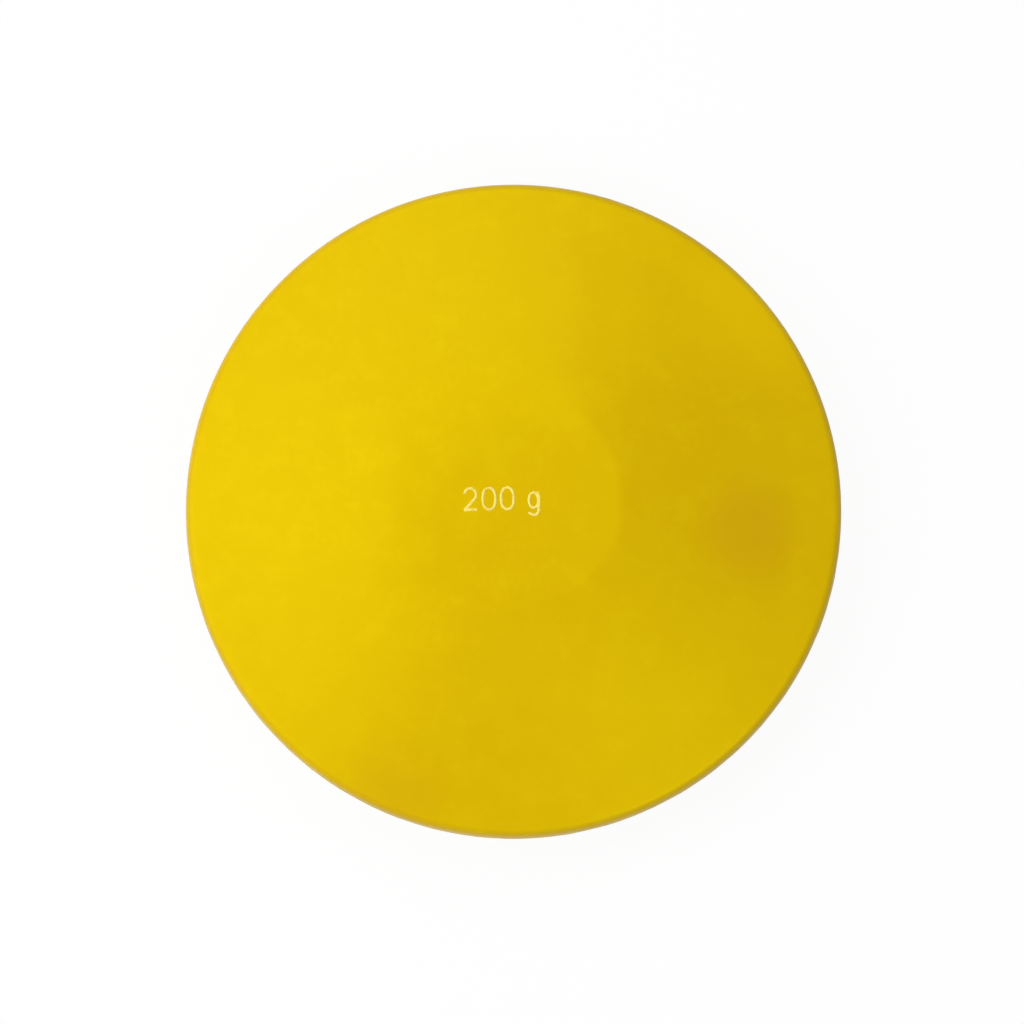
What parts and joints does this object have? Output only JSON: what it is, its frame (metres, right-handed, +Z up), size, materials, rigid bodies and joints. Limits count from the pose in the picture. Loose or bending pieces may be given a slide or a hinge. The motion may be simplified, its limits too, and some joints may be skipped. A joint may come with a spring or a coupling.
{
  "type": "training discus",
  "caption": "Round lens-shaped throwing disc of moulded rubber with a flat centre on each side, cone-shaped faces and a rounded edge with a seam.",
  "frame": {"origin": "centre of the lower flat, on the surface that the discus lies on", "axes": "+Z up along the discus's axis, out of the upper flat; +X and +Y any two directions across it, as the shape is round"},
  "size_m": [0.1554, 0.1554, 0.029],
  "materials": {
    "cover_rubber": "satin",
    "ring_rubber": "matte",
    "expanded_rubber": "matte"
  },
  "bodies": {
    "root": {"upper_cover": "cover_rubber", "lower_cover": "cover_rubber", "rim_ring": "ring_rubber", "core": "expanded_rubber"}
  },
  "joints": []
}
